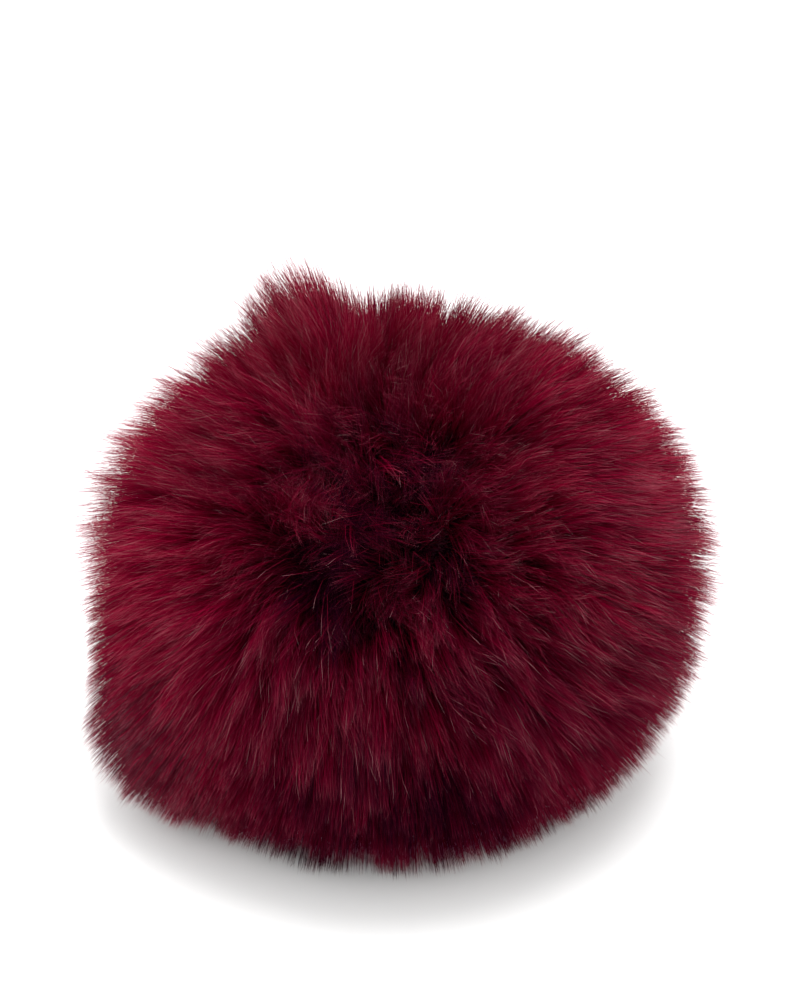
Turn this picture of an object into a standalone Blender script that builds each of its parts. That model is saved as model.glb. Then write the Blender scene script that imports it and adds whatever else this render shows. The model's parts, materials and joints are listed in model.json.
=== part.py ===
"""Faux-fur pompom, 10 cm across, that rests on a table, with a sew-on press stud at its back.

Metres, +Z up. The origin is the bottom centre of the pompom's box, and the table is at z = 0.
The front, where the fur's crown shows, faces -Y. The press stud is on the +Y side and faces down a little.
"""

import math
import random

import bmesh
import bpy
from mathutils import Vector

MM = 0.001

# Fur: half sizes of the ball that the lock tips reach, measured from the ball's middle
FUR_HALF_X = 49.0 * MM
FUR_HALF_Y = 45.0 * MM
FUR_HALF_UP = 41.0 * MM
FUR_HALF_DOWN = 47.0 * MM
MIDDLE_HEIGHT = 36.5 * MM  # the table cuts the lower half here, and flattens the fur on it

# Backing: the gathered cloth ball under the fur
BACKING_HALF = (32.0 * MM, 31.0 * MM, 28.0 * MM)
GRID_DEGREES = (-45.0, -33.5, -22.0, -7.4, 7.4, 22.0, 33.5, 45.0)
GRID_JITTER = 0.14  # of the space between grid lines
SEED = 11

# Press stud, turned to face back and down
STUD_TILT = math.radians(22.0)
SEAT_HEIGHT = 28.5 * MM  # from the ball's middle to the flat seat under the press stud
SEAT_STEPS = 2  # the seat is the grid's middle cells, up to this grid line from the middle one

# Fur that parts round the press stud, and fur that lies away from the crown
PARTING = math.radians(26.0)
PARTING_FADE = 1.5
CROWN_DEGREES = (-97.0, 50.0)  # azimuth and elevation of the fur's crown
CROWN_LEAN = math.radians(9.0)

# Tufts and hollows in the fur's outline: azimuth, elevation and half width in degrees, gain as a share
BULGE_COLUMNS = ("place", "azimuth", "elevation", "half_width", "gain")
BULGES = (
    ("tuft at the upper left", 121.0, 49.0, 12.0, 0.20),
    ("hollow beside that tuft", 95.0, 56.0, 12.0, -0.04),
    ("flat stretch at the left", 168.0, 14.0, 26.0, -0.02),
    ("tuft at the lower left", 207.0, -31.0, 19.0, 0.18),
    ("side at the right", 0.0, -6.0, 30.0, 0.025),
    ("shoulder at the right", 24.0, 16.0, 22.0, 0.015),
    ("hollow at the upper right", 60.0, 44.0, 24.0, -0.02),
)

# Lock rings from root to tip: share of the way out, and width as a share of the lock's cell
LOCK_COLUMNS = ("way_out", "width")
LOCK_RINGS = ((0.0, 0.90), (0.38, 0.93), (0.74, 0.74), (1.0, 0.18))
TABLE_TIP_WIDTH = 0.5  # instead of the last one, where a lock stands on the table
LOCK_SHORTEST = 0.88
LOCK_LONGEST = 1.04
TIP_SCATTER = 0.28  # of the cell, how far a tip stands off its lock's axis
TABLE_GAP = 0.5 * MM  # under tips that are close to the table but don't rest on it

# Press stud, from its own seat outwards. Radii and heights in metres, both halves 48 steps round
TURN_STEPS = 48
PLATE_GAP = 0.3 * MM
STUD_PLATE_RADIUS = 9.9 * MM
STUD_PLATE_TOP = PLATE_GAP + 0.7 * MM
NECK_RADIUS = 2.3 * MM
BALL_RADIUS = 3.55 * MM
BALL_PROFILE = (  # radius and height of the neck and the ball, from the plate up
    (3.0 * MM, STUD_PLATE_TOP),
    (NECK_RADIUS, 1.35 * MM),
    (NECK_RADIUS, 3.0 * MM),
    (2.9 * MM, 3.25 * MM),
    (3.4 * MM, 3.65 * MM),
    (BALL_RADIUS, 4.15 * MM),
    (3.42 * MM, 4.7 * MM),
    (2.95 * MM, 5.15 * MM),
    (2.3 * MM, 5.42 * MM),
    (1.6 * MM, 5.5 * MM),
    (0.8 * MM, 5.4 * MM),
)
BALL_TIP_HEIGHT = 5.36 * MM

SOCKET_RADIUS = 10.5 * MM
SOCKET_BASE = STUD_PLATE_TOP + PLATE_GAP
SOCKET_PLATE_TOP = SOCKET_BASE + 0.55 * MM
RIM_TOP = 3.0 * MM
HUB_RADIUS = 4.45 * MM
HUB_TOP = SOCKET_PLATE_TOP + 0.3 * MM
HOLE_RADIUS = BALL_RADIUS + 0.3 * MM
SOCKET_PROFILE = (  # radius and height, from the hole's lower edge round to its upper edge
    (HOLE_RADIUS, SOCKET_BASE),
    (SOCKET_RADIUS - 0.5 * MM, SOCKET_BASE),
    (SOCKET_RADIUS - 0.12 * MM, SOCKET_BASE + 0.2 * MM),
    (SOCKET_RADIUS, SOCKET_BASE + 0.7 * MM),
    (SOCKET_RADIUS - 0.1 * MM, RIM_TOP - 0.25 * MM),
    (SOCKET_RADIUS - 0.3 * MM, RIM_TOP),
    (SOCKET_RADIUS - 0.75 * MM, RIM_TOP),
    (SOCKET_RADIUS - 0.98 * MM, RIM_TOP - 0.3 * MM),
    (SOCKET_RADIUS - 1.0 * MM, RIM_TOP - 0.8 * MM),
    (SOCKET_RADIUS - 1.5 * MM, SOCKET_PLATE_TOP),
    (HUB_RADIUS + 0.25 * MM, SOCKET_PLATE_TOP),
    (HUB_RADIUS, HUB_TOP),
    (HOLE_RADIUS, HUB_TOP),
)

# Four sewing slots, with round ends
SLOT_RADIUS = 7.45 * MM  # from the axis to a slot's middle
SLOT_LENGTH = 3.4 * MM
SLOT_WIDTH = 1.95 * MM
SLOT_ARC_STEPS = 6

# Slits in the hub that let the springs' straight legs reach the neck
SLIT_WIDTH = 1.1 * MM
SLIT_MIDDLE_X = 3.0 * MM
SLIT_ENDS_Y = (-5.9 * MM, 4.2 * MM)

# Spring wire: its middle line on the right side, seen from behind the press stud
WIRE_RADIUS = 0.3 * MM
WIRE_HEIGHT = SOCKET_PLATE_TOP + PLATE_GAP + WIRE_RADIUS
WIRE_SIDES = 8
WIRE_STEPS = 36
WIRE_POINTS = (  # across and up, from the outer end under the rim to the inner end
    (8.3, -2.85),
    (8.0, -3.45),
    (7.3, -3.6),
    (6.6, -2.8),
    (6.15, -1.2),
    (5.8, 1.0),
    (5.45, 3.2),
    (5.05, 4.65),
    (4.2, 5.15),
    (3.35, 4.6),
    (3.05, 3.3),
    (3.0, 1.0),
    (3.05, -2.0),
    (3.25, -5.4),
)

COLOURS = {
    "fur": (0.17, 0.004, 0.018, 1.0),
    "brass": (0.42, 0.30, 0.11, 1.0),
    "bronze": (0.17, 0.15, 0.10, 1.0),
    "wire": (0.48, 0.43, 0.28, 1.0),
}


def clear_scene():
    for item in list(bpy.data.objects):
        bpy.data.objects.remove(item, do_unlink=True)


def material(name, roughness, metallic):
    made = bpy.data.materials.new(name)
    made.use_nodes = True
    shader = made.node_tree.nodes["Principled BSDF"]
    shader.inputs["Base Color"].default_value = COLOURS[name]
    shader.inputs["Roughness"].default_value = roughness
    shader.inputs["Metallic"].default_value = metallic
    return made


def add_object(name, mesh, surface, parent):
    made = bpy.data.objects.new(name, mesh)
    bpy.context.scene.collection.objects.link(made)
    mesh.materials.append(surface)
    made.parent = parent
    return made


def add_empty(name, parent=None):
    made = bpy.data.objects.new(name, None)
    bpy.context.scene.collection.objects.link(made)
    made.parent = parent
    return made


def direction(azimuth, elevation):
    """The unit vector at an azimuth from +X towards +Y and an elevation, both in degrees."""
    a, e = math.radians(azimuth), math.radians(elevation)
    return Vector((math.cos(a) * math.cos(e), math.sin(a) * math.cos(e), math.sin(e)))


STUD_AXIS = Vector((0.0, math.cos(STUD_TILT), -math.sin(STUD_TILT)))
CROWN_AXIS = direction(*CROWN_DEGREES)
BULGE_ROWS = [dict(zip(BULGE_COLUMNS, row)) for row in BULGES]
LOCK_ROWS = [dict(zip(LOCK_COLUMNS, row)) for row in LOCK_RINGS]


def turned_from(axis, ray, turn):
    """The unit vector ray turned further away from axis by an angle."""
    across = axis.cross(ray)
    if across.length < 1e-6:
        return ray.copy()
    across.normalize()
    return ray * math.cos(turn) + across.cross(ray) * math.sin(turn)


def parted(ray):
    """The way a lock's tip points when its root points along ray."""
    from_stud = STUD_AXIS.angle(ray)
    ray = turned_from(STUD_AXIS, ray, PARTING * (1 - from_stud / math.pi) ** PARTING_FADE)
    from_crown = CROWN_AXIS.angle(ray)
    return turned_from(CROWN_AXIS, ray, CROWN_LEAN * math.sin(from_crown) ** 2)


def fur_reach(ray):
    """How far the fur reaches from the ball's middle along ray, down to the table."""
    half_z = FUR_HALF_UP if ray.z > 0 else FUR_HALF_DOWN
    reach = 1 / math.sqrt((ray.x / FUR_HALF_X) ** 2 + (ray.y / FUR_HALF_Y) ** 2 + (ray.z / half_z) ** 2)
    for bulge in BULGE_ROWS:
        away = math.degrees(direction(bulge["azimuth"], bulge["elevation"]).angle(ray))
        reach *= 1 + bulge["gain"] * math.exp(-((away / bulge["half_width"]) ** 2))
    if ray.z < 0:
        reach = min(reach, MIDDLE_HEIGHT / -ray.z)
    return reach


def on_backing(ray, on_seat):
    """The point of the backing ball along ray, on the press stud's flat seat or on the round part."""
    if on_seat:
        return ray * (SEAT_HEIGHT / ray.dot(STUD_AXIS))
    return ray / math.sqrt(sum((part / half) ** 2 for part, half in zip(ray, BACKING_HALF)))


def seat_turn():
    """Turns the grid's +Z side to face along the press stud's axis."""
    return Vector((0, 0, 1)).rotation_difference(STUD_AXIS).to_matrix()


def grid_sides():
    """The six sides of the grid cube, each as the two axes across it and the axis out of it."""
    axes = [Vector((1, 0, 0)), Vector((0, 1, 0)), Vector((0, 0, 1))]
    for turn in range(3):
        across, up, out = axes[turn], axes[(turn + 1) % 3], axes[(turn + 2) % 3]
        yield across, up, out
        yield up, across, -out


def backing_grid(rng):
    """The backing ball's grid: rays, which of them are on the seat, and cells as four ray numbers."""
    lines = [math.tan(math.radians(angle)) for angle in GRID_DEGREES]
    last = len(lines) - 1
    middle = last / 2
    rays, seat, found, cells = [], set(), {}, []
    turn = seat_turn()
    for across, up, out in grid_sides():
        numbers = {}
        for i, u in enumerate(lines):
            for j, v in enumerate(lines):
                cube = out + across * u + up * v
                key = tuple(round(part, 5) for part in cube.normalized())
                in_seat = out.z > 0.5 and abs(i - middle) < SEAT_STEPS and abs(j - middle) < SEAT_STEPS
                if key not in found:
                    found[key] = len(rays)
                    space = abs(lines[1] - lines[0]) * GRID_JITTER
                    shift = Vector([rng.uniform(-space, space) for _ in range(3)])
                    ray = cube if in_seat else cube + shift
                    rays.append(turn @ ray.normalized())
                if in_seat:
                    seat.add(found[key])
                numbers[i, j] = found[key]
        for i in range(last):
            for j in range(last):
                cells.append((numbers[i, j], numbers[i + 1, j], numbers[i + 1, j + 1], numbers[i, j + 1]))
    return rays, seat, cells


def lock_point(root, ray, way_out, length, scatter):
    """A point of a lock: at its root on the backing at 0, and on the fur's outer form at 1."""
    tip_ray = (parted(ray) + scatter).normalized()
    tip = tip_ray * fur_reach(tip_ray)
    if tip.z > -MIDDLE_HEIGHT + TABLE_GAP:
        tip = root.lerp(tip, length)
    bend = root + ray * ((tip - root).length * 0.5)
    a, b = root.lerp(bend, way_out), bend.lerp(tip, way_out)
    return a.lerp(b, way_out)


def rests(ray):
    """Whether the fur reaches the table along ray."""
    tip_ray = parted(ray)
    return tip_ray.z < 0 and fur_reach(tip_ray) >= MIDDLE_HEIGHT / -tip_ray.z - 1e-9


def add_lock(mesh, corners, rays, rng):
    """Grows one four-sided lock out of a cell of the backing, with its tip level if it is on the table."""
    middle = sum(rays, Vector()).normalized()
    roots = [corner.co - Vector((0, 0, MIDDLE_HEIGHT)) for corner in corners]
    root_middle = sum(roots, Vector()) / 4
    length = rng.uniform(LOCK_SHORTEST, LOCK_LONGEST)
    on_table = rests(middle)
    space = (rays[0] - rays[1]).length * TIP_SCATTER * (0.5 if on_table else 1)
    scatter = Vector([rng.uniform(-space, space) for _ in range(3)])
    below = corners
    for row in LOCK_ROWS:
        ring = []
        level = on_table and row["way_out"] == 1
        width = TABLE_TIP_WIDTH if level else row["width"]
        for ray, root in zip(rays, roots):
            narrowed = (middle + (ray - middle) * width).normalized()
            start = root_middle.lerp(root, width)
            place = lock_point(start, narrowed, row["way_out"], length, scatter * row["way_out"] ** 3)
            place.z += MIDDLE_HEIGHT
            place.z = max(place.z, TABLE_GAP * (3 - 2 * row["way_out"]))
            if level:
                place.z = 0.0
            ring.append(mesh.verts.new(place))
        for k in range(4):
            mesh.faces.new((below[k], below[(k + 1) % 4], ring[(k + 1) % 4], ring[k]))
        below = ring
    mesh.faces.new(below)


def fur_ball(parent):
    """The backing ball with a four-sided lock of fur on each cell but those under the press stud."""
    rng = random.Random(SEED)
    rays, seat, cells = backing_grid(rng)
    mesh = bmesh.new()
    lift = Vector((0, 0, MIDDLE_HEIGHT))
    verts = [mesh.verts.new(on_backing(ray, i in seat) + lift) for i, ray in enumerate(rays)]
    for cell in cells:
        corners = [verts[i] for i in cell]
        if all(i in seat for i in cell):
            mesh.faces.new(corners)
        else:
            add_lock(mesh, corners, [rays[i] for i in cell], rng)
    data = bpy.data.meshes.new("fur_ball")
    mesh.to_mesh(data)
    mesh.free()
    return add_object("fur_ball", data, material("fur", 0.9, 0.0), parent)


def turned_mesh(name, profile, closed_tip=None):
    """A profile of radii and heights turned round Z: a ring, or a solid with a point at each end."""
    mesh = bmesh.new()
    rings = []
    for radius, height in profile:
        ring = []
        for step in range(TURN_STEPS):
            turn = 2 * math.pi * step / TURN_STEPS
            ring.append(mesh.verts.new((radius * math.cos(turn), radius * math.sin(turn), height)))
        rings.append(ring)
    pairs = list(zip(rings, rings[1:]))
    if closed_tip is None:
        pairs.append((rings[-1], rings[0]))
    else:
        low = mesh.verts.new((0, 0, profile[0][1]))
        top = mesh.verts.new((0, 0, closed_tip))
    for lower, upper in pairs:
        for step in range(TURN_STEPS):
            after = (step + 1) % TURN_STEPS
            mesh.faces.new((lower[step], lower[after], upper[after], upper[step]))
    if closed_tip is not None:
        for step in range(TURN_STEPS):
            after = (step + 1) % TURN_STEPS
            mesh.faces.new((low, rings[0][after], rings[0][step]))
            mesh.faces.new((top, rings[-1][step], rings[-1][after]))
    data = bpy.data.meshes.new(name)
    mesh.to_mesh(data)
    mesh.free()
    return data


def prism(name, outline, low, high):
    """An upright prism over an outline that runs anticlockwise."""
    mesh = bmesh.new()
    base = [mesh.verts.new((x, y, low)) for x, y in outline]
    top = [mesh.verts.new((x, y, high)) for x, y in outline]
    mesh.faces.new(list(reversed(base)))
    mesh.faces.new(top)
    for k in range(len(outline)):
        after = (k + 1) % len(outline)
        mesh.faces.new((base[k], base[after], top[after], top[k]))
    data = bpy.data.meshes.new(name)
    mesh.to_mesh(data)
    mesh.free()
    return data


def slot_outline(turn):
    """A slot with round ends, its long side across the radius, at an angle round the press stud."""
    half = (SLOT_LENGTH - SLOT_WIDTH) / 2
    points = []
    for end in (1, -1):
        for step in range(SLOT_ARC_STEPS + 1):
            around = math.pi * (step / SLOT_ARC_STEPS) + (0 if end == 1 else math.pi)
            x = SLOT_RADIUS + SLOT_WIDTH / 2 * math.cos(around)
            y = end * half + SLOT_WIDTH / 2 * math.sin(around)
            points.append((x, y))
    c, s = math.cos(turn), math.sin(turn)
    return [(x * c - y * s, x * s + y * c) for x, y in points]


def cut(piece, name, data):
    """Cuts a hidden tool's shape out of a piece."""
    tool = add_object(name, data, piece.data.materials[0], piece.parent)
    tool.hide_render = True
    tool.display_type = "WIRE"
    boolean = piece.modifiers.new(name, "BOOLEAN")
    boolean.operation = "DIFFERENCE"
    boolean.solver = "EXACT"
    boolean.object = tool


def cut_slots(piece, low, high):
    for number in range(4):
        name = f"{piece.name}_slot_{number}"
        cut(piece, name, prism(name, slot_outline(number * math.pi / 2), low, high))


def stud_half(parent):
    """The half that is sewn to the pompom: a plate with a ball on a neck."""
    profile = (
        (STUD_PLATE_RADIUS - 0.15 * MM, PLATE_GAP),
        (STUD_PLATE_RADIUS, PLATE_GAP + 0.2 * MM),
        (STUD_PLATE_RADIUS, STUD_PLATE_TOP - 0.2 * MM),
        (STUD_PLATE_RADIUS - 0.15 * MM, STUD_PLATE_TOP),
    ) + BALL_PROFILE
    data = turned_mesh("stud_half", profile, closed_tip=BALL_TIP_HEIGHT)
    data.shade_smooth()
    data.set_sharp_from_angle(angle=math.radians(40))
    piece = add_object("stud_half", data, material("brass", 0.35, 1.0), parent)
    cut_slots(piece, PLATE_GAP - 1 * MM, STUD_PLATE_TOP + 0.15 * MM)
    return piece


def socket_half(parent):
    """The half that goes on the hat or bag: a dished plate with a rolled rim, a hub and a hole."""
    data = turned_mesh("socket_half", SOCKET_PROFILE)
    data.shade_smooth()
    data.set_sharp_from_angle(angle=math.radians(40))
    piece = add_object("socket_half", data, material("bronze", 0.45, 1.0), parent)
    cut_slots(piece, SOCKET_BASE - 1 * MM, SOCKET_PLATE_TOP + 1 * MM)
    for side in (-1, 1):
        half = SLIT_WIDTH / 2
        low_y, high_y = SLIT_ENDS_Y
        left, right = side * SLIT_MIDDLE_X - half, side * SLIT_MIDDLE_X + half
        outline = ((left, low_y), (right, low_y), (right, high_y), (left, high_y))
        name = f"socket_half_slit_{'left' if side < 0 else 'right'}"
        cut(piece, name, prism(name, outline, SOCKET_PLATE_TOP - 0.05 * MM, HUB_TOP + 1 * MM))
    return piece


def smooth_line(points, steps):
    """Places along a smooth curve through points, about evenly spaced."""
    padded = [points[0] * 2 - points[1]] + points + [points[-1] * 2 - points[-2]]
    fine = []
    for a, b, c, d in zip(padded, padded[1:], padded[2:], padded[3:]):
        for k in range(16):
            t = k / 16
            fine.append(
                (b * 2 + (c - a) * t + (a * 2 - b * 5 + c * 4 - d) * t**2 + (b * 3 - a - c * 3 + d) * t**3) / 2
            )
    fine.append(points[-1])
    lengths = [0.0]
    for a, b in zip(fine, fine[1:]):
        lengths.append(lengths[-1] + (b - a).length)
    places, k = [], 0
    for step in range(steps + 1):
        want = lengths[-1] * step / steps
        while k < len(fine) - 2 and lengths[k + 1] < want:
            k += 1
        share = (want - lengths[k]) / (lengths[k + 1] - lengths[k])
        places.append(fine[k].lerp(fine[k + 1], min(max(share, 0), 1)))
    return places


def spring(name, side, surface, parent):
    """One bent wire spring, with the ball's neck between it and its mirror image."""
    points = [Vector((side * x * MM, y * MM, WIRE_HEIGHT)) for x, y in WIRE_POINTS]
    places = smooth_line(points, WIRE_STEPS)
    mesh = bmesh.new()
    rings = []
    for k, place in enumerate(places):
        ahead = places[min(k + 1, WIRE_STEPS)] - places[max(k - 1, 0)]
        sideways = Vector((ahead.y, -ahead.x, 0)).normalized()
        ring = []
        for corner in range(WIRE_SIDES):
            around = 2 * math.pi * corner / WIRE_SIDES
            offset = sideways * math.cos(around) + Vector((0, 0, math.sin(around)))
            ring.append(mesh.verts.new(place + offset * WIRE_RADIUS))
        rings.append(ring)
    for lower, upper in zip(rings, rings[1:]):
        for k in range(WIRE_SIDES):
            after = (k + 1) % WIRE_SIDES
            mesh.faces.new((lower[k], lower[after], upper[after], upper[k]))
    mesh.faces.new(list(reversed(rings[0])))
    mesh.faces.new(rings[-1])
    bmesh.ops.recalc_face_normals(mesh, faces=mesh.faces)
    data = bpy.data.meshes.new(name)
    mesh.to_mesh(data)
    mesh.free()
    data.shade_smooth()
    data.set_sharp_from_angle(angle=math.radians(50))
    return add_object(name, data, surface, parent)


def stand_on_origin(root, pieces):
    """Moves the whole pompom sideways so that the origin is at the bottom centre of its box."""
    bpy.context.view_layer.update()
    places = [piece.matrix_world @ vert.co for piece in pieces for vert in piece.data.vertices]
    for axis in (0, 1):
        values = [place[axis] for place in places]
        root.location[axis] = -(min(values) + max(values)) / 2


def main():
    clear_scene()
    pompom = add_empty("pompom")
    seat = add_empty("press_stud_seat", pompom)
    seat.location = Vector((0, 0, MIDDLE_HEIGHT)) + STUD_AXIS * SEAT_HEIGHT
    seat.rotation_euler = (math.pi / 2 + STUD_TILT, 0, math.pi)
    socket = add_empty("socket", seat)
    wire = material("wire", 0.3, 1.0)
    pieces = [
        fur_ball(pompom),
        stud_half(seat),
        socket_half(socket),
        spring("spring_left", -1, wire, socket),
        spring("spring_right", 1, wire, socket),
    ]
    stand_on_origin(pompom, pieces)


main()
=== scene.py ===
# %% [markdown]
# # A faux-fur pompom with a press stud
#
# A pompom of this kind is a round of pile fabric, gathered round a stuffed ball, so that the pile
# stands out on all sides. Its look is made by nearly two hundred thousand separate hairs. This lesson
# grows them as thin ribbons of mesh, because a mesh can be exported and seen in any program.
# The solids that give the pompom its size are loaded first, and everything else is fitted to them.

# %% Load the frame
import json
import math

import bmesh
import bpy
import numpy as np
from mathutils import Matrix, Vector


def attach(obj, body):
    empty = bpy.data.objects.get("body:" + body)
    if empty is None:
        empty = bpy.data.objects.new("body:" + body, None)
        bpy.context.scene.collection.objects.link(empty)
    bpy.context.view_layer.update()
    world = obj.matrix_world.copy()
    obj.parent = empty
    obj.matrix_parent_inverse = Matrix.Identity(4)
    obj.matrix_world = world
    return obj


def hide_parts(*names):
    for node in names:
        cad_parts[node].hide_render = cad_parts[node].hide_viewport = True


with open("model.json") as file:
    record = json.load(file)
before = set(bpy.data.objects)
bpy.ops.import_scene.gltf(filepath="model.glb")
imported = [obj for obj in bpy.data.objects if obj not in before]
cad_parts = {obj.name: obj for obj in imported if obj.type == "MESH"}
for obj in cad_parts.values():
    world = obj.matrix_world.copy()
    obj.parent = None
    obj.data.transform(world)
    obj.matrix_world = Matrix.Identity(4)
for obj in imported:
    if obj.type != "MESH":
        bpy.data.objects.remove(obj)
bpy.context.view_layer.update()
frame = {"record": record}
MM = 0.001

# %% [markdown]
# The press stud sits on a flat seat at the pompom's back. Its axis and one point of its rim are known
# from the frame, so the middle of the pompom is found by going back along that axis. The other sizes
# repeat those of the solids.

# %% Places and sizes that the solids give
RIM_MOUNT = next(mount for mount in frame["record"]["mounts"] if mount["name"] == "socket_back")
STUD_AXIS = Vector(RIM_MOUNT["axis"]).normalized()
STUD_UP = (Vector((0, 0, 1)) - STUD_AXIS * STUD_AXIS.z).normalized()
SEAT_HEIGHT = 28.5 * MM
RIM_TOP = 3.0 * MM
RIM_FLAT_RADIUS = 9.98 * MM
SEAT_MIDDLE = Vector(RIM_MOUNT["pos_m"]) - STUD_UP * RIM_FLAT_RADIUS - STUD_AXIS * RIM_TOP
MIDDLE = SEAT_MIDDLE - STUD_AXIS * SEAT_HEIGHT
FUR_HALF = {"x": 49.0 * MM, "y": 46.0 * MM, "up": 41.0 * MM, "down": 49.0 * MM}
BACKING_HALF = (32.0 * MM, 31.0 * MM, 28.0 * MM)
STUD_FRAME = Matrix.Translation(SEAT_MIDDLE) @ Matrix(
    (-Vector((1, 0, 0)), STUD_UP, STUD_AXIS)
).transposed().to_4x4()
print("middle of the pompom:", [round(part * 1000, 2) for part in MIDDLE], "mm")

# %% [markdown]
# The camera comes before the fur, so that every test render can be laid beside the photograph.
# It looks down by 37 degrees from 0.95 m away, and its lens makes a pixel 0.157 mm wide at the pompom.
# The pompom is a little below the middle of the frame, so the camera aims a little above it.

# %% Camera
FRAME_PIXELS = (800, 992)
PIXEL = 0.157 * MM
CAMERA_DISTANCE = 0.95
CAMERA_PITCH = math.radians(37)
SENSOR = 36.0
AIM_UP_PIXELS = 64


def add_camera():
    towards = Vector((0, -math.cos(CAMERA_PITCH), math.sin(CAMERA_PITCH)))
    up = Vector((0, math.sin(CAMERA_PITCH), math.cos(CAMERA_PITCH)))
    target = MIDDLE + up * AIM_UP_PIXELS * PIXEL
    data = bpy.data.cameras.new("camera")
    data.sensor_fit = "HORIZONTAL"
    data.sensor_width = SENSOR
    data.lens = SENSOR * CAMERA_DISTANCE / (FRAME_PIXELS[0] * PIXEL)
    camera = bpy.data.objects.new("camera", data)
    camera.location = target + towards * CAMERA_DISTANCE
    camera.rotation_euler = (math.pi / 2 - CAMERA_PITCH, 0, 0)
    bpy.context.scene.collection.objects.link(camera)
    bpy.context.scene.camera = camera
    print("lens:", round(data.lens), "mm")


add_camera()

# %% [markdown]
# ## The form of the fur
#
# Hair on a ball is easiest to think of as a field: for any direction from the middle, how far do the
# tips reach, and which way do the hairs lean? Three things shape it here. The press stud parts the
# fur round itself, the fur lies away from its crown, and a few tufts and hollows make the outline uneven.
# Working with arrays of directions, instead of one hair at a time, keeps this fast.

# %% Tools for arrays of vectors


def unit(vectors):
    return vectors / np.maximum(np.linalg.norm(vectors, axis=-1, keepdims=True), 1e-12)


def direction(azimuth, elevation):
    """The unit vector at an azimuth from +X towards +Y and an elevation, both in degrees."""
    a, e = math.radians(azimuth), math.radians(elevation)
    return np.array((math.cos(a) * math.cos(e), math.sin(a) * math.cos(e), math.sin(e)))


def angles_from(axis, rays):
    return np.arccos(np.clip(rays @ axis, -1, 1))


def turned_from(axis, rays, turns):
    """Unit vectors turned further away from an axis, each by its own angle."""
    across = unit(np.cross(axis, rays))
    return rays * np.cos(turns)[:, None] + np.cross(across, rays) * np.sin(turns)[:, None]


def even_rays(count):
    """Directions spread evenly over a sphere, on a spiral."""
    k = np.arange(count) + 0.5
    z = 1 - 2 * k / count
    turn = k * math.pi * (3 - math.sqrt(5))
    r = np.sqrt(1 - z * z)
    return np.stack((r * np.cos(turn), r * np.sin(turn), z), 1)


def smooth_noise(rays, cycles, seed, channels=1):
    """Soft random hills over directions, about -1 to 1, with this many hills across."""
    rng = np.random.default_rng(seed)
    total = np.zeros((len(rays), channels))
    waves = 14
    for _ in range(waves):
        wave = rng.normal(size=(3, channels)) * cycles
        total += np.sin(rays @ wave + rng.uniform(0, 2 * math.pi, channels))
    return total * math.sqrt(2 / waves) * 0.7


def hills(rays, noise, channels=1):
    """Soft noise from a row of its hills across, seed and size."""
    cycles, seed, size = noise
    return smooth_noise(rays, cycles, seed, channels) * size


def curves(roots, bends, tips, steps):
    """Points along curves that leave each root towards a bend and end at a tip. Steps go from 0 to 1."""
    t = steps[:, :, None]
    return roots[:, None] * (1 - t) ** 2 + bends[:, None] * 2 * t * (1 - t) + tips[:, None] * t**2


# %% Where the tips of the fur are
STUD_RAY = np.array(STUD_AXIS)
CROWN_RAY = direction(-103.0, 53.0)
PARTING = math.radians(26.0)
PARTING_FADE = 1.5
CROWN_LEAN = math.radians(9.0)
# Each patch is a soft round hill on the pompom. Its place and width are in degrees.
PATCH_COLUMNS = ("place", "azimuth", "elevation", "half_width", "amount")
# Tufts and hollows of the outline. The amount is a share of the fur's reach.
BULGES = (
    ("tuft at the upper left", 121.0, 48.0, 9.0, 0.176),
    ("hollow beside that tuft", 106.5, 52.0, 6.5, -0.18),
    ("left of that tuft", 139.0, 41.0, 12.0, 0.04),
    ("side at the left", 178.0, 12.0, 32.0, 0.03),
    ("tuft at the lower left", 204.0, -28.0, 14.5, 0.156),
    ("low at the front left", 240.0, -45.0, 28.0, 0.045),
    ("side at the right", 0.0, -6.0, 30.0, 0.025),
    ("shoulder at the right", 30.0, 36.0, 16.0, 0.015),
    ("hollow at the upper right", 68.0, 46.0, 20.0, -0.015),
)


def patch(row, rays):
    """One soft round hill over directions, as high as the row's amount."""
    values = dict(zip(PATCH_COLUMNS, row))
    away = np.degrees(angles_from(direction(values["azimuth"], values["elevation"]), rays))
    return values["amount"] * np.exp(-((away / values["half_width"]) ** 2))


def patches(rows, rays):
    return sum(patch(row, rays) for row in rows)


def fur_reach(rays):
    """How far the fur would reach from the middle along each ray if no table were there."""
    half_z = np.where(rays[:, 2] > 0, FUR_HALF["up"], FUR_HALF["down"])
    scaled = np.stack((rays[:, 0] / FUR_HALF["x"], rays[:, 1] / FUR_HALF["y"], rays[:, 2] / half_z), 1)
    reach = 1 / np.linalg.norm(scaled, axis=1)
    for bulge in BULGES:
        reach *= 1 + patch(bulge, rays)
    return reach


def parted(rays):
    """The way each hair's tip points, for roots along these rays."""
    share = 1 - angles_from(STUD_RAY, rays) / math.pi
    rays = turned_from(STUD_RAY, rays, PARTING * share**PARTING_FADE)
    return turned_from(CROWN_RAY, rays, CROWN_LEAN * np.sin(angles_from(CROWN_RAY, rays)) ** 2)


def on_backing(rays):
    """Points of the cloth ball under the fur, flat under the press stud, from its middle."""
    reach = 1 / np.linalg.norm(rays / np.array(BACKING_HALF), axis=1)
    facing = rays @ STUD_RAY
    seat = np.where(facing > 0.3, SEAT_HEIGHT / np.maximum(facing, 0.3), 1)
    return rays * np.minimum(reach, seat)[:, None]
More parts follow.
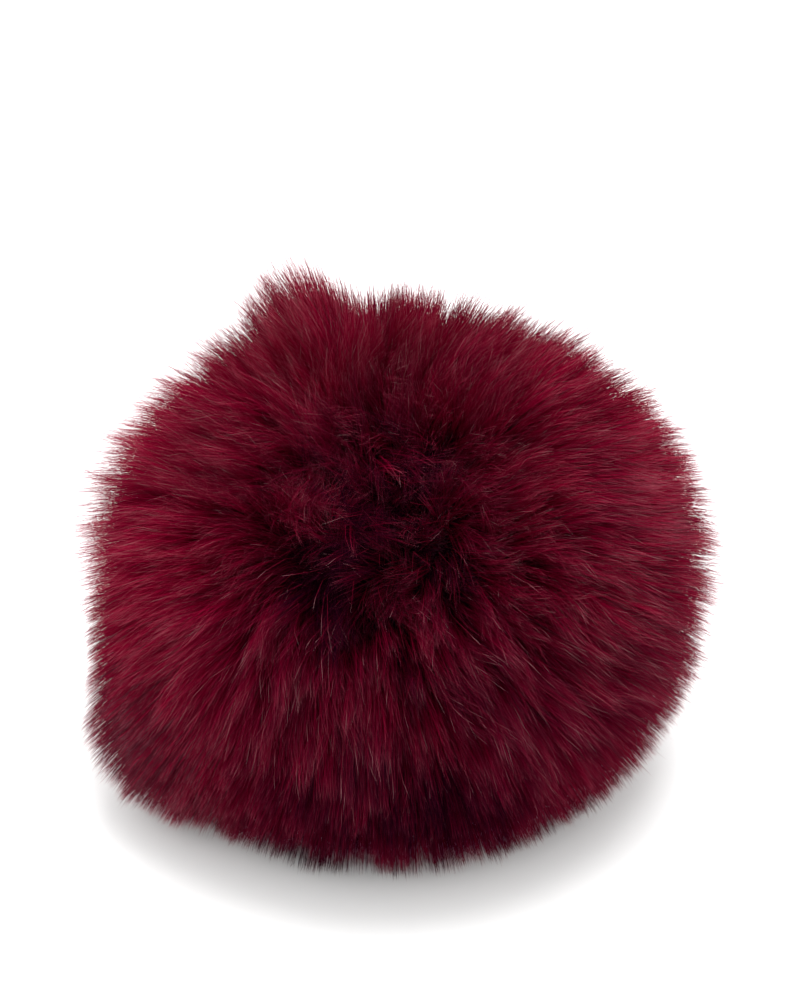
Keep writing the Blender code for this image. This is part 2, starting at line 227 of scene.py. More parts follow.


# %% [markdown]
# ## Growing the hairs
#
# Real pile gathers into small pointed locks, because neighbouring hairs cling together. So the hairs
# are grown lock by lock: a lock has one tip, and its hairs start spread over the backing and lean in
# towards that tip, some more than others. Each hair is a curve with three control points: its root,
# a point straight out from the root, and its tip. Hairs that would go through the table bend along it.
#
# Locks differ by chance and by place. A lean moves the direction of a lock's tip, a length is a share
# of the fur's reach, and a tone goes from 0 to 1; by place the tone also carries painted light and shade.

# %% Locks and their hairs
SEED = 7
LOCKS = 17000
HAIRS_IN_LOCK = 10
LOCK_SPREAD = 1.1
LONG_HAIRS = 0.2
# The share of long hairs whose tips get the pale tone, a painted highlight.
PALE_GLINT_TIPS = 0.2
LONGEST = 1.13
LOCK_TIP_JITTER = 0.45 * MM
CLUMPS = 2300
# Extra locks, by azimuth, elevation, spread and number: low at the left, and in the upper left tuft.
THICK_PLACES = ((203.0, -36.0, 0.24, 1300), (123.0, 49.0, 0.09, 380))
HAIR_STEPS = np.array((0.0, 0.42, 0.78, 1.0))
HAIR_WIDTH = 0.125 * MM
TABLE_ROOM = 0.25 * MM
TABLE_UNEVEN = 0.9 * MM
PUSHED_OUT = 0.4
SEAT_EDGE = 10.9 * MM
SEAT_MARGIN = 0.8 * MM
NEAR_SEAT = 0.8
UNDER = -0.84
UNDER_THIN_OUT = 0.75

# Noises by their hills across, seed and size.
LEAN_NOISES = ((5.0, 21, 0.04), (15.0, 22, 0.03), (34.0, 27, 0.035))
CROWN_LEAN_NOISE = (32.0, 25, 0.11)
LENGTH_NOISE = (9.0, 23, 0.018)
HOLE_NOISE = (8.0, 26, 1.0)
TONE_NOISE = (9.0, 24, 0.09)
CROWN_TONE_NOISE = (26.0, 28, 0.16)

# What chance adds to a lock, to a clump of locks or to a hair.
CROWN_WIDTH = math.radians(26.0)
STUD_LEAN, CROWN_LOCK_LEAN, CLUMP_LEAN = 0.07, 0.05, 0.038
LOCK_LENGTH, CLUMP_LENGTH, SHORT_LOCK = 0.035, 0.02, 0.10
CROWN_SHORTER, HOLE_SHORTER = 0.11, 0.16
FULL_LENGTH, NEAT_SHORTER = 1.066, 0.026
LOCK_TONE, CROWN_TONE, CLUMP_TONE, HAIR_TONE = 0.065, 0.13, 0.045, 0.045

# Tones. Muted hairs are below the darkest of the others, and pale ones are above the brightest.
# The pale hairs' paleness is a painted highlight; the cloth's is its own colour.
MIDDLE_TONE, DARKEST, BRIGHTEST = 0.58, 0.18, 0.94
# Painted shade: how much darker the crown's holes and hollows are painted.
HOLE_PAINTED_SHADE, HOLLOW_PAINTED_SHADE = 0.2, 2.0
MUTED_TONE, PALE_GLINT_TONE, CLOTH_TONE = 0.14, 0.97, 1.0

# The fur's tone by place, as painted light and shade: painted shade makes it dark at the crown and low
# down, and painted light makes it brighter at the sides and round the press stud.
PAINTED_LIGHT_AND_SHADE = (
    ("dark crown", -97.0, 44.0, 26.0, -0.38),
    ("front, low down", -90.0, -35.0, 52.0, -0.34),
    ("lower left", 202.0, -20.0, 22.0, 0.28),
    ("where it meets the table", -90.0, -62.0, 26.0, 0.14),
    ("upper left", 140.0, 45.0, 42.0, 0.20),
    ("left side", 196.0, 12.0, 38.0, 0.24),
    ("right side", 10.0, 15.0, 45.0, 0.35),
    ("round the press stud", 90.0, -22.0, 36.0, 0.22),
)
# Hollows between the messy tufts of the crown, where the fur is shorter and painted nearly black as
# painted shade.
HOLLOWS = (
    ("at the crown's upper left", -120.0, 54.0, 6.5, 0.13),
    ("left of the crown", -121.0, 31.0, 6.0, 0.11),
    ("above the crown", -80.0, 56.0, 5.5, 0.10),
    ("right of the crown", -75.0, 40.0, 5.0, 0.10),
    ("below the crown", -106.0, 24.0, 5.0, 0.08),
)
# Where hairs are muted and browner. The amount is their share.
MUTED = (
    ("lower left", 207.0, -20.0, 17.0, 0.85),
    ("right side", -5.0, 5.0, 38.0, 0.45),
    ("round the press stud", 90.0, -22.0, 26.0, 0.55),
)
# Where the fur's tips are short and even, as they also are low down all round.
NEAT = (
    ("lower left", 200.0, -16.0, 26.0, 1.1),
    ("right side", 12.0, 16.0, 46.0, 0.55),
    ("front low", -97.0, -18.0, 40.0, 0.5),
)


def nearest(rays, centres):
    """For each ray, the number of the closest centre."""
    found = np.empty(len(rays), int)
    for start in range(0, len(rays), 2000):
        part = slice(start, start + 2000)
        found[part] = (rays[part] @ centres.T).argmax(1)
    return found


def neatness(rays):
    """1 where the fur's tips are short and even, and 0 where it is messy."""
    return np.clip(patches(NEAT, rays) + np.clip(-2 * rays[:, 2], 0, 1), 0, 1)


def tip_points(rays, lean, length):
    """Tips of hairs whose roots lie along rays, each with its own lean and its share of full length."""
    tips = unit(parted(rays) + lean)
    to_table = MIDDLE.z / np.maximum(-tips[:, 2], 0.01)
    return tips * (np.minimum(fur_reach(tips), to_table) * length)[:, None]


def on_the_table(points, rng):
    """Bends points that are below the table up to it, and outwards by part of what they lost."""
    uneven = rng.uniform(0, TABLE_UNEVEN, points.shape[:2]) * np.linspace(0.3, 1, points.shape[1])
    floor = TABLE_ROOM - MIDDLE.z + uneven
    lost = np.maximum(floor - points[..., 2], 0)
    flat = points[..., :2]
    outwards = flat / np.maximum(np.linalg.norm(flat, axis=-1, keepdims=True), 1 * MM)
    points[..., :2] += outwards * (lost * PUSHED_OUT)[..., None]
    points[..., 2] += lost
    return points


def place_locks(rng):
    """Each lock's direction: even over the ball, more in thick places, none under the press stud."""
    rays = unit(even_rays(LOCKS) + rng.normal(scale=0.006, size=(LOCKS, 3)))
    for azimuth, elevation, spread, more in THICK_PLACES:
        thick = direction(azimuth, elevation) + rng.normal(scale=spread, size=(more, 3))
        rays = np.concatenate((rays, unit(thick)))
    from_axis = np.linalg.norm(np.cross(on_backing(rays), STUD_RAY), axis=1)
    hidden = (rays @ STUD_RAY > NEAR_SEAT) & (from_axis < SEAT_EDGE - SEAT_MARGIN)
    under = (rays[:, 2] < UNDER) & (rng.random(len(rays)) < UNDER_THIN_OUT)
    return rays[~hidden & ~under]


def shape_locks(rays, rng):
    """Each lock's lean, length and tone, how calm it is, and how near the crown."""
    locks = len(rays)
    near_stud = np.clip((rays @ STUD_RAY - 0.6) / 0.3, 0, 1)
    near_crown = np.exp(-((angles_from(CROWN_RAY, rays) / CROWN_WIDTH) ** 2))
    lean = sum(hills(rays, noise, 3) for noise in LEAN_NOISES)
    lean += rng.normal(size=(locks, 3)) * (STUD_LEAN * near_stud)[:, None]
    lean += hills(rays, CROWN_LEAN_NOISE, 3) * near_crown[:, None]
    length = hills(rays, LENGTH_NOISE)[:, 0] + rng.uniform(-LOCK_LENGTH, LOCK_LENGTH, locks)
    holes = np.clip(hills(rays, HOLE_NOISE)[:, 0] - 0.2, 0, 1)
    hollows = patches(HOLLOWS, rays)
    lean += rng.normal(size=(locks, 3)) * (CROWN_LOCK_LEAN * near_crown)[:, None]
    length -= near_crown * (CROWN_SHORTER * rng.random(locks) + HOLE_SHORTER * holes) + hollows
    tone = MIDDLE_TONE + hills(rays, TONE_NOISE)[:, 0] + rng.normal(scale=LOCK_TONE, size=locks)
    # Painted light and shade by place, and painted shade in the crown's holes and hollows.
    tone += patches(PAINTED_LIGHT_AND_SHADE, rays) - HOLE_PAINTED_SHADE * holes * near_crown - HOLLOW_PAINTED_SHADE * hollows
    tone += near_crown * (hills(rays, CROWN_TONE_NOISE)[:, 0] + rng.normal(scale=CROWN_TONE, size=locks))

    centres = unit(even_rays(CLUMPS) + rng.normal(scale=0.016, size=(CLUMPS, 3)))
    clump = nearest(rays, centres)
    lean += rng.normal(scale=CLUMP_LEAN, size=(CLUMPS, 3))[clump] * (1 + 0.7 * near_crown)[:, None]
    length += rng.normal(scale=CLUMP_LENGTH, size=CLUMPS)[clump]
    neat = neatness(rays)
    calm = 1 - 0.75 * neat
    lean *= calm[:, None]
    length = FULL_LENGTH - NEAT_SHORTER * neat + length * calm - SHORT_LOCK * rng.random(locks) ** 2.5
    tone += rng.normal(scale=CLUMP_TONE, size=CLUMPS)[clump]
    return lean, length, tone, calm, near_crown


def grow_fur():
    """Points along every hair from root to tip, and each hair's tone, width and start."""
    rng = np.random.default_rng(SEED)
    lock_rays = place_locks(rng)
    lean, lock_length, lock_tone, calm, near_crown = shape_locks(lock_rays, rng)
    lock_tips = tip_points(lock_rays, lean, lock_length)
    lock_tips += rng.normal(scale=LOCK_TIP_JITTER, size=lock_tips.shape) * calm[:, None]

    which = np.repeat(np.arange(len(lock_rays)), HAIRS_IN_LOCK)
    spacing = math.sqrt(4 * math.pi / LOCKS)
    rays = unit(lock_rays[which] + rng.normal(scale=spacing * LOCK_SPREAD / 2, size=(len(which), 3)))
    roots = on_backing(rays)
    from_axis = np.linalg.norm(np.cross(roots, STUD_RAY), axis=1)
    kept = (rays @ STUD_RAY < NEAR_SEAT) | (from_axis > SEAT_EDGE)
    which, rays, roots = which[kept], rays[kept], roots[kept]
    count = len(which)
    neat = neatness(rays)
    length = lock_length[which] * (1.0 - (0.15 - 0.13 * neat) * rng.random(count))
    is_long = rng.random(count) < LONG_HAIRS * (1 - neat)
    length = np.where(is_long, lock_length[which] + rng.uniform(-0.02, 0.06, count), length)
    length = np.minimum(length, LONGEST)

    own_tips = tip_points(rays, lean[which], length)
    shared_tips = lock_tips[which] * (length / lock_length[which])[:, None]
    cling = (rng.uniform(0.12, 0.74, count) + 0.2 * near_crown[which]) * (1 - 0.6 * neat)
    stray = (0.3 * calm[which] + 0.6 * near_crown[which] * rng.random(count)) * MM
    tips = own_tips * (1 - cling[:, None]) + shared_tips * cling[:, None]
    tips += rng.normal(size=(count, 3)) * stray[:, None]
    reach = np.linalg.norm(tips - roots, axis=1)
    bends = roots + rays * (reach * 0.5)[:, None] + rng.normal(scale=0.8 * MM, size=(count, 3))
    steps = np.tile(HAIR_STEPS, (count, 1))
    steps[:, 2] += 0.15 * neat
    points = curves(roots, bends, tips, steps)

    tone = np.clip(lock_tone[which] + rng.normal(scale=HAIR_TONE, size=count), DARKEST, BRIGHTEST)
    is_muted = rng.random(count) < patches(MUTED, rays)
    tone = np.where(is_muted, tone * MUTED_TONE, tone)
    # Pale tips on some long hairs: painted highlights.
    is_pale = is_long & (rng.random(count) < PALE_GLINT_TIPS * (1 - near_crown[which]))
    tone = np.where(is_pale, PALE_GLINT_TONE, tone)
    widths = HAIR_WIDTH * rng.uniform(0.65, 1.25, count) * np.where(is_long, 0.7, 1)
    # Near the press stud the colour starts part way along, which leaves off the painted root shade:
    # painted light round the stud.
    starts = 0.5 * np.clip((rays @ STUD_RAY - 0.45) / 0.3, 0, 1)
    return on_the_table(points, rng), tone, widths, starts, rng


# %% [markdown]
# A ribbon is a hair seen as a strip: two rows of vertices that meet at the tip. It faces away from
# the pompom's middle with a random twist, so that light catches it like a round hair. Its width
# shrinks towards the tip, which gives the outline its thin, half see-through fringe.
# Each vertex also carries two numbers for the colour: the hair's tone, and how far along it is.

# %% Ribbons
TAPER = np.array((1.0, 0.95, 0.38))
TONE_WIDTH = 1 / 256
TWIST = 0.3


def ribbons(points, tone, widths, starts, rng):
    """Vertices, faces and the two colour numbers of one ribbon for each hair.

    A hair's start says how far along the colour is at its root.
    """
    count, steps = points.shape[:2]
    along = unit(np.gradient(points, axis=1))
    outwards = unit(points)
    facing = outwards - along * (outwards * along).sum(-1, keepdims=True)
    random_side = rng.normal(size=(count, 1, 3)) * TWIST
    random_side = random_side - along * (random_side * along).sum(-1, keepdims=True)
    facing = unit(facing + random_side)
    across = np.cross(along, facing)
    half = across[:, :-1] * (widths[:, None] * TAPER[None, :] / 2)[..., None]
    left, right = points[:, :-1] - half, points[:, :-1] + half
    verts = np.concatenate((np.stack((left, right), 2).reshape(count, -1, 3), points[:, -1:]), 1)
    per_hair = 2 * (steps - 1) + 1
    start = (np.arange(count) * per_hair)[:, None]
    quads = [np.array((2 * k, 2 * k + 1, 2 * k + 3, 2 * k + 2)) for k in range(steps - 2)]
    tip = np.array((2 * steps - 4, 2 * steps - 3, 2 * steps - 2))
    corners = np.concatenate(quads + [tip])[None, :] + start
    sizes = np.tile([4] * (steps - 2) + [3], count)
    way = np.append(np.repeat(HAIR_STEPS[:-1], 2), 1.0)
    side = np.append(np.tile((0.0, 1.0), steps - 1), 0.5)
    tones = tone[:, None] * (1 - TONE_WIDTH) + side[None, :] * TONE_WIDTH
    ways = starts[:, None] + (1 - starts[:, None]) * way[None, :]
    return verts.reshape(-1, 3), corners.ravel(), sizes, tones.ravel(), ways.ravel()


def ribbon_object(name, verts, corners, sizes, tones, ways, finish):
    """One mesh of many ribbons, with tone and along as attributes and as its map."""
    mesh = bpy.data.meshes.new(name)
    mesh.vertices.add(len(verts))
    mesh.vertices.foreach_set("co", (verts + np.array(MIDDLE)).astype(np.float32).ravel())
    mesh.loops.add(len(corners))
    mesh.loops.foreach_set("vertex_index", corners.astype(np.int32))
    mesh.polygons.add(len(sizes))
    starts = np.concatenate(([0], np.cumsum(sizes)[:-1]))
    mesh.polygons.foreach_set("loop_start", starts.astype(np.int32))
    mesh.update(calc_edges=True)
    for label, values in (("tone", tones), ("along", ways)):
        mesh.attributes.new(label, "FLOAT", "POINT").data.foreach_set("value", values.astype(np.float32))
    colour_map = mesh.uv_layers.new(name="OFBake")
    places = np.stack((tones[corners], ways[corners] * 0.998 + 0.001), 1)
    colour_map.uv.foreach_set("vector", places.astype(np.float32).ravel())
    mesh.shade_smooth()
    mesh.materials.append(finish)
    made = bpy.data.objects.new(name, mesh)
    bpy.context.scene.collection.objects.link(made)
    return made


# %% [markdown]
# ## Finishes
#
# A finish is a small network of shader nodes. Written as nodes in code, even a short sum is hard to
# read, so a small class lets Python's own arithmetic stand for the Math nodes. Everything else goes
# through one method that makes a node, sets it up and joins its sockets.

# %% Shader arithmetic


class Value:
    """One output of a shader node. Adding, subtracting and multiplying values makes Math nodes."""

    def __init__(self, finish, socket):
        self.finish = finish
        self.socket = socket

    def math(self, operation, first, second):
        return self.finish.node("ShaderNodeMath", {"operation": operation}, {0: first, 1: second})

    def __radd__(self, other):
        return self.math("ADD", other, self)

    def __sub__(self, other):
        return self.math("SUBTRACT", self, other)

    def __rsub__(self, other):
        return self.math("SUBTRACT", other, self)

    def __mul__(self, other):
        return self.math("MULTIPLY", self, other)


class Finish:
    """A material being made: its nodes, and the Principled shader that they feed."""

    def __init__(self, name):
        self.material = bpy.data.materials.new(name)
        self.material.use_nodes = True
        self.tree = self.material.node_tree
        self.shader = self.tree.nodes["Principled BSDF"]

    def join(self, value, socket):
        if isinstance(value, Value):
            self.tree.links.new(value.socket, socket)
        elif hasattr(value, "__len__") and len(value) == 3 and socket.type == "RGBA":
            socket.default_value = (*value, 1.0)
        else:
            socket.default_value = value

    def node(self, kind, settings=None, sockets=None, output=0):
        made = self.tree.nodes.new(kind)
        for name, setting in (settings or {}).items():
            if name == "stops":
                ramp = made.color_ramp
                while len(ramp.elements) < len(setting):
                    ramp.elements.new(0.5)
                for element, (position, colour) in zip(ramp.elements, setting):
                    element.position = position
                    element.color = (*colour, 1.0)
            else:
                setattr(made, name, setting)
        for name, value in (sockets or {}).items():
            self.join(value, made.inputs[name])
        return Value(self, made.outputs[output])

    def mix(self, share, low, high):
        """A colour between two colours."""
        return self.node("ShaderNodeMix", {"data_type": "RGBA"}, {0: share, 6: low, 7: high}, output=2)

    def ramp(self, value, *stops):
        return self.node("ShaderNodeValToRGB", {"stops": stops}, {0: value})

    def range(self, value, low, high):
        """0 below low, 1 above high, and smooth between."""
        settings = {"interpolation_type": "SMOOTHSTEP"}
        return self.node("ShaderNodeMapRange", settings, {0: value, 1: low, 2: high})

    def noise(self, scale, detail=3.0, rough=0.55):
        where = self.node("ShaderNodeTexCoord", output="Object")
        sockets = {"Vector": where, "Scale": scale, "Detail": detail, "Roughness": rough}
        return self.node("ShaderNodeTexNoise", None, sockets)

    def from_axis(self):
        """The distance from an object's own Z axis, in metres."""
        where = self.node("ShaderNodeTexCoord", output="Object")
        flat = self.node("ShaderNodeVectorMath", {"operation": "MULTIPLY"}, {0: where, 1: (1, 1, 0)})
        return self.node("ShaderNodeVectorMath", {"operation": "LENGTH"}, {0: flat}, output="Value")

    def attribute(self, name):
        return self.node("ShaderNodeAttribute", {"attribute_name": name}, output="Fac")

    def bump(self, height, depth):
        """A Bump node on the shader's Normal, with a depth in metres."""
        normal = self.node("ShaderNodeBump", None, {"Height": height, "Distance": depth})
        self.join(normal, self.shader.inputs["Normal"])

    def set(self, **sockets):
        for name, value in sockets.items():
            self.join(value, self.shader.inputs[name.replace("_", " ")])
        return self.material


# %% [markdown]
# The fur's dye is a deep burgundy. A hair is painted nearly black at its root, as painted shade for
# where little light reaches, rich red along its length, and paler and pinker at its tip, as painted
# light for the light through the thin tips and their sheen. The tone shifts a whole hair between a wine
# colour and a crimson, and also carries the painted light and shade by place. A few hairs are pale
# strays, whose paleness is a painted highlight.

# %% Fur finish


def fur_finish():
    finish = Finish("burgundy_fur")
    tone, along = finish.attribute("tone"), finish.attribute("along")
    # Root colours: painted shade.
    root = finish.ramp(
        tone,
        (0.0, (0.006, 0.0008, 0.001)),
        (0.14, (0.014, 0.002, 0.003)),
        (0.18, (0.006, 0.0001, 0.001)),
        (0.9, (0.022, 0.0002, 0.003)),
    )
    middle = finish.ramp(
        tone,
        (0.0, (0.030, 0.003, 0.007)),
        (0.14, (0.110, 0.012, 0.026)),
        (0.18, (0.010, 0.0002, 0.004)),
        (0.9, (0.215, 0.0008, 0.020)),
    )
    # Tip and point colours: painted light, for the light through the thin tips and their sheen.
    tip = finish.ramp(
        tone,
        (0.0, (0.065, 0.010, 0.018)),
        (0.14, (0.210, 0.060, 0.080)),
        (0.18, (0.020, 0.0006, 0.007)),
        (0.9, (0.365, 0.036, 0.072)),
    )
    point = finish.ramp(
        tone,
        (0.0, (0.12, 0.030, 0.045)),
        (0.14, (0.36, 0.150, 0.170)),
        (0.18, (0.050, 0.005, 0.015)),
        (0.9, (0.54, 0.120, 0.165)),
    )
    colour = finish.mix(finish.range(along, 0.1, 0.6), root, middle)
    colour = finish.mix(finish.range(along, 0.72, 1.0), colour, tip)
    colour = finish.mix(finish.range(along, 0.86, 1.0), colour, point)
    # The pale hairs' colour: a painted highlight, pale towards the tip.
    pale = finish.mix(finish.range(along, 0.70, 1.0), (0.13, 0.004, 0.016), (0.48, 0.24, 0.26))
    colour = finish.mix(finish.range(tone, 0.945, 0.955), colour, pale)
    colour = finish.mix(finish.range(tone, 0.985, 0.992), colour, (0.42, 0.24, 0.25))
    return finish.set(Base_Color=colour, Roughness=0.6, Specular_IOR_Level=0.0)


FUR = fur_finish()

# %% [markdown]
# A single mesh of all the hairs would be slow to handle, so the fur is made in six pieces, by the
# side that each hair's tip is on. All six ride on the pompom and stand in for its plain solid.

# %% Fur pieces
SIDES = ("right", "left", "back", "front", "top", "under")
STRAYS = 1900
WISPS = 120
WISP_PLACE = (108.0, 52.5)
COLLAR = 9000
COLLAR_INSIDE = 10.4
# Specks of backing cloth by their turn round the axis in degrees, and width and length in mm.
SPECKS = ((66, 1.3, 1.5), (252, 2.6, 2.2), (318, 2.2, 4.4))


def grow_strays():
    """Short pale hairs that stand out of the fur at odd angles, and wisps beside the upper left tuft.
    Their pale colour is a painted highlight.
    """
    rng = np.random.default_rng(SEED + 1)
    loose = unit(rng.normal(size=(STRAYS, 3)))
    wisps = unit(direction(*WISP_PLACE) + rng.normal(scale=0.055, size=(WISPS, 3)))
    rays = np.concatenate((loose, wisps))
    away = (rays @ STUD_RAY < 0.86) & (rays[:, 2] > -0.6)
    is_wisp = (np.arange(len(rays)) >= STRAYS)[away]
    rays = rays[away]
    count = len(rays)
    from_crown = unit(rays - (rays @ CROWN_RAY)[:, None] * CROWN_RAY)
    leans = from_crown * np.where(is_wisp, 0, rng.uniform(0, 0.10, count))[:, None]
    leans += rng.normal(size=(count, 3)) * np.where(is_wisp, 0.02, 0.03)[:, None]
    length = np.where(is_wisp, rng.uniform(1.04, 1.20, count), rng.uniform(1.0, 1.06, count))
    tips = tip_points(rays, leans, length)
    roots = tip_points(rays, 0 * leans, length - np.where(is_wisp, 0.3, 0.10))
    bends = (roots + tips) / 2 + rng.normal(scale=0.3 * MM, size=(count, 3))
    points = curves(roots, bends, tips, HAIR_STEPS[None])
    return on_the_table(points, rng), np.full(count, PALE_GLINT_TONE), np.where(is_wisp, 0.12, 0.034) * MM, rng


def grow_collar():
    """Short hairs that lie outwards from the press stud's edge, and tufts of the pale backing cloth."""
    rng = np.random.default_rng(SEED + 3)
    turns = rng.uniform(0, 2 * math.pi, COLLAR)
    is_pale = np.zeros(COLLAR, bool)
    root_out = COLLAR_INSIDE + 6.5 * rng.random(COLLAR) ** 1.3
    reach = rng.uniform(2.5, 6.0, COLLAR)
    for turn, wide, long in SPECKS:
        away = (turns - math.radians(turn) + math.pi) % (2 * math.pi) - math.pi
        close = np.abs(away) * 11 < wide / 2
        is_pale |= close
        root_out = np.where(close, rng.uniform(10.55, 10.8, COLLAR), root_out)
        reach = np.where(close, long * (1 - np.abs(away) * 15 / wide), reach)
    sway = rng.normal(scale=np.where(is_pale, 0.03, 0.24))
    cloth_rise = rng.uniform(1.3, 2.2, COLLAR)
    hair_rise = rng.uniform(1.4, 3.6, COLLAR) + 0.2 * (root_out - COLLAR_INSIDE)
    rise = np.where(is_pale, cloth_rise, hair_rise)

    def place(out, turn, up):
        flat = np.stack((out * np.cos(turn), out * np.sin(turn), up), 1) * MM
        return flat @ np.array(STUD_FRAME.to_3x3()).T + np.array(SEAT_MIDDLE - MIDDLE)

    roots = place(root_out, turns, np.where(is_pale, 0.2, -0.8) + 0 * turns)
    bends = place(root_out + reach * 0.18, turns + sway * 0.3, rise * 0.95)
    tips = place(root_out + reach, turns + sway, rise * 1.1)
    points = curves(roots, bends, tips, HAIR_STEPS[None])
    # Painted light round the press stud: the collar hairs get the brighter tones.
    tone = np.where(is_pale, CLOTH_TONE, rng.uniform(0.5, BRIGHTEST, COLLAR))
    is_muted = ~is_pale & (rng.random(COLLAR) < 0.45)
    tone = np.where(is_muted, rng.uniform(0.08, MUTED_TONE, COLLAR), tone)
    widths = np.where(is_pale, 0.16, rng.uniform(0.08, 0.13, COLLAR)) * MM
    return points, tone, widths


def side_of(tips):
    """Which of the six sides each tip is on, as a number into SIDES."""
    scaled = tips / np.array((FUR_HALF["x"], FUR_HALF["y"], FUR_HALF["up"]))
    axis = np.abs(scaled).argmax(1)
    low = np.take_along_axis(scaled, axis[:, None], 1)[:, 0] < 0
    return axis * 2 + low


def dress(piece, body="pompom", instead_of=None):
    """Says which body a piece rides on, and which solid it stands in for."""
    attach(piece, body)
    if instead_of:
        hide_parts(instead_of)


def add_fur():
    points, tone, widths, starts, rng = grow_fur()
    strays, stray_tone, stray_widths, rng = grow_strays()
    collar, collar_tone, collar_widths = grow_collar()
    points = np.concatenate((points, strays, collar))
    tone = np.concatenate((tone, stray_tone, collar_tone))
    widths = np.concatenate((widths, stray_widths, collar_widths))
    # Collar hairs start half way along the colour, without the painted root shade.
    starts = np.concatenate((starts, np.zeros(len(strays)), np.full(COLLAR, 0.5)))
    side = side_of(points[:, -1])
    for number, name in enumerate(SIDES):
        mine = side == number
        parts = ribbons(points[mine], tone[mine], widths[mine], starts[mine], rng)
        piece = ribbon_object(f"fur_{name}", *parts, FUR)
        dress(piece, instead_of="fur_ball")
        print(piece.name, "hairs:", int(mine.sum()), "triangles:", int((parts[2] - 2).sum()))


add_fur()

# %% [markdown]
# Under the fur is the cloth ball itself. It hardly shows, but without it a gap between hairs would
# look right through the pompom. It is a ball whose vertices are pushed onto the backing's form.
# The cloth is pale, but the ball is coloured near black, as painted shade deep among the roots.

# %% Backing ball


def backing_finish():
    finish = Finish("painted_shade_under_fur")
    weave = finish.noise(900.0, 2.0)
    finish.bump(weave, 0.3 * MM)
    # Near-black colour: painted shade deep among the roots.
    colour = finish.ramp(weave, (0.3, (0.010, 0.0004, 0.002)), (0.7, (0.05, 0.001, 0.008)))
    return finish.set(Base_Color=colour, Roughness=0.9)


def add_backing():
    mesh = bmesh.new()
    bmesh.ops.create_icosphere(mesh, subdivisions=5, radius=1.0)
    rays = unit(np.array([vert.co[:] for vert in mesh.verts]))
    places = on_backing(rays) * 0.985
    for vert, place in zip(mesh.verts, places):
        vert.co = Vector(place) + MIDDLE
    data = bpy.data.meshes.new("backing_ball")
    mesh.to_mesh(data)
    mesh.free()
    data.shade_smooth()
    data.materials.append(backing_finish())
    ball = bpy.data.objects.new("backing_ball", data)
    bpy.context.scene.collection.objects.link(ball)
    dress(ball, instead_of="fur_ball")
    print("backing ball:", len(data.polygons), "faces")


add_backing()

# %% [markdown]
# ## The press stud
#
# Most of a press stud is round, so its halves are made by turning a profile. The profiles follow the
# solids, with their corners rounded by extra points. The slots and slits are then cut with the
# Boolean modifier. All of it is made in the press stud's own frame, with the axis as Z, and placed
# by one matrix.

# %% Turning and cutting
TURN_STEPS = 112
SLOT_MIDDLE = 7.45 * MM
SLOT_LENGTH = 3.4 * MM
SLOT_WIDTH = 1.95 * MM
SLIT_X = 3.0 * MM
SLIT_HALF_WIDTH = 0.55 * MM
SLIT_Y = (-5.9 * MM, 4.2 * MM)
SLIT_FLOOR = 1.45 * MM


def made_object(name, mesh, finish):
    """An object in the press stud's frame, from a bmesh."""
    bmesh.ops.recalc_face_normals(mesh, faces=mesh.faces)
    data = bpy.data.meshes.new(name)
    mesh.to_mesh(data)
    mesh.free()
    data.materials.append(finish)
    made = bpy.data.objects.new(name, data)
    made.matrix_world = STUD_FRAME
    bpy.context.scene.collection.objects.link(made)
    return made


def turned(name, profile, finish, closed=False):
    """A profile of radii and heights in mm turned round Z. A closed one has a point at each end."""
    mesh = bmesh.new()
    turns = [2 * math.pi * step / TURN_STEPS for step in range(TURN_STEPS)]
    rings = []
    for radius, height in profile:
        if radius == 0:
            rings.append([mesh.verts.new((0, 0, height * MM))])
        else:
            place = [(radius * math.cos(turn), radius * math.sin(turn), height) for turn in turns]
            rings.append([mesh.verts.new(Vector(point) * MM) for point in place])
    pairs = list(zip(rings, rings[1:]))
    if not closed:
        pairs.append((rings[-1], rings[0]))
    for low, high in pairs:
        for k in range(TURN_STEPS):
            after = (k + 1) % TURN_STEPS
            below = [low[k % len(low)], low[after % len(low)]]
            above = [high[after % len(high)], high[k % len(high)]]
            mesh.faces.new(dict.fromkeys(below + above))
    return made_object(name, mesh, finish)


def prism(outline, low, high):
    """An upright prism over an outline, as an object to cut with."""
    mesh = bmesh.new()
    base = [mesh.verts.new((x, y, low)) for x, y in outline]
    top = [mesh.verts.new((x, y, high)) for x, y in outline]
    mesh.faces.new(base)
    mesh.faces.new(top)
    for k, corner in enumerate(base):
        mesh.faces.new((corner, base[k - 1], top[k - 1], top[k]))
    return made_object("cutter", mesh, None)


def slot_outline(turn):
    """A slot with round ends, its long side across the radius."""
    cos, sin = math.cos(turn), math.sin(turn)
    points = []
    for step in range(24):
        around = math.pi * (step + 0.5) / 12
        end = math.copysign((SLOT_LENGTH - SLOT_WIDTH) / 2, math.sin(around))
        x = SLOT_MIDDLE + SLOT_WIDTH / 2 * math.cos(around)
        y = end + SLOT_WIDTH / 2 * math.sin(around)
        points.append((x * cos - y * sin, x * sin + y * cos))
    return points


def cut_out(piece, cutters):
    """Takes the cutters' shapes out of a piece and removes the cutters."""
    for cutter in cutters:
        cut = piece.modifiers.new("cut", "BOOLEAN")
        cut.operation = "DIFFERENCE"
        cut.solver = "EXACT"
        cut.object = cutter
    bpy.context.view_layer.update()
    cut_piece = piece.evaluated_get(bpy.context.evaluated_depsgraph_get())
    piece.data = bpy.data.meshes.new_from_object(cut_piece)
    piece.modifiers.clear()
    for cutter in cutters:
        bpy.data.objects.remove(cutter)
    piece.data.shade_smooth()
    piece.data.set_sharp_from_angle(angle=math.radians(35))
    print(piece.name, "faces:", len(piece.data.polygons))


# %% [markdown]
# The metal is brass that has been darkened and then rubbed. It stays dark on the sunk plate and is
# bright where things touch it: on the rolled rim, the edge of the hub, and the ball. Each finish finds
# these places by their distance from the axis.

# %% Metal finishes


